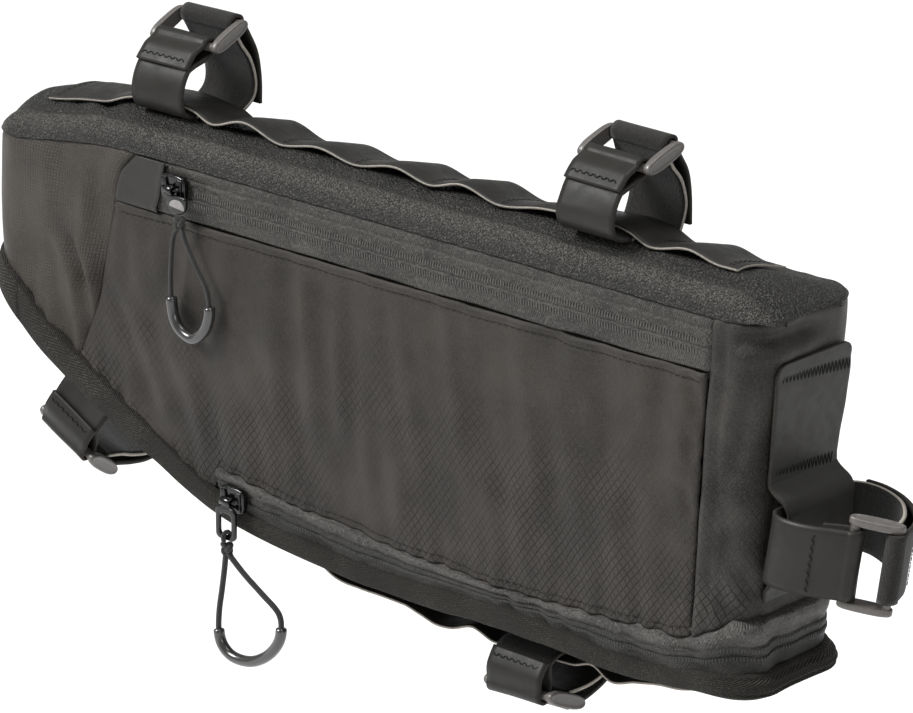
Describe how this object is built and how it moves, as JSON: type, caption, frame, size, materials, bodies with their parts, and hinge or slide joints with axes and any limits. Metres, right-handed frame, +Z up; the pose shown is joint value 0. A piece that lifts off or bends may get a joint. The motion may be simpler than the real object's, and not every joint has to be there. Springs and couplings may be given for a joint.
{
  "type": "bicycle frame bag",
  "caption": "Slim wedge-bottomed bag that hangs inside a bicycle frame from strap loops, with a side zip, a lower expansion zip and cord pulls.",
  "frame": {"origin": "on the axis of the two top strap loops, midway between them, where the tube that carries the bag passes", "axes": "+X along the bag from the rounded nose to the tail end, +Y from the front panel with the zip to the back panel, +Z up"},
  "size_m": [0.418, 0.0703, 0.2256],
  "materials": {
    "ripstop_fabric": "matt woven ripstop, slight sheen",
    "top_panel_grain": "matt leathery grain",
    "coated_zip_tape": "satin coated tape",
    "binding_tape": "matt twill tape",
    "coated_webbing": "smooth satin coating",
    "buckle_plastic": "satin",
    "black_slider_metal": "gloss black",
    "cord": "matt braid",
    "grip_plastic": "gloss"
  },
  "bodies": {
    "bag": {"back_panel": "ripstop_fabric", "binding": "binding_tape", "bottom_panel": "ripstop_fabric", "bottom_strip": "coated_webbing", "buckle_bottom": "buckle_plastic", "buckle_end": "buckle_plastic", "buckle_slope": "buckle_plastic", "buckle_top_left": "buckle_plastic", "buckle_top_right": "buckle_plastic", "end_panel": "ripstop_fabric", "end_patch": "coated_webbing", "front_panel": "ripstop_fabric", "lower_zip": "coated_zip_tape", "main_zip": "coated_zip_tape", "nose_panel": "ripstop_fabric", "slider_lower": "black_slider_metal", "slider_upper": "black_slider_metal", "slope_strip": "coated_webbing", "strap_bottom": "coated_webbing", "strap_end": "coated_webbing", "strap_slope": "coated_webbing", "strap_top_left": "coated_webbing", "strap_top_right": "coated_webbing", "top_panel": "top_panel_grain", "top_strip": "coated_webbing", "zip_garage": "coated_webbing"},
    "upper_pull": {"tab_upper": "black_slider_metal", "knot_upper": "cord", "cord_upper": "cord", "grip_upper": "grip_plastic"},
    "lower_pull": {"tab_lower": "black_slider_metal", "knot_lower": "cord", "cord_lower": "cord", "grip_lower": "grip_plastic"}
  },
  "joints": [
    {"name": "upper_pull_hinge", "type": "hinge", "parent": "bag", "child": "upper_pull", "pos_m": [-0.08175, -0.03276, -0.0345], "axis": [-1, 0, 0], "range_deg": [0, 150]},
    {"name": "lower_pull_hinge", "type": "hinge", "parent": "bag", "child": "lower_pull", "pos_m": [-0.05475, -0.03375, -0.145], "axis": [-1, 0, 0], "range_deg": [0, 150]}
  ]
}
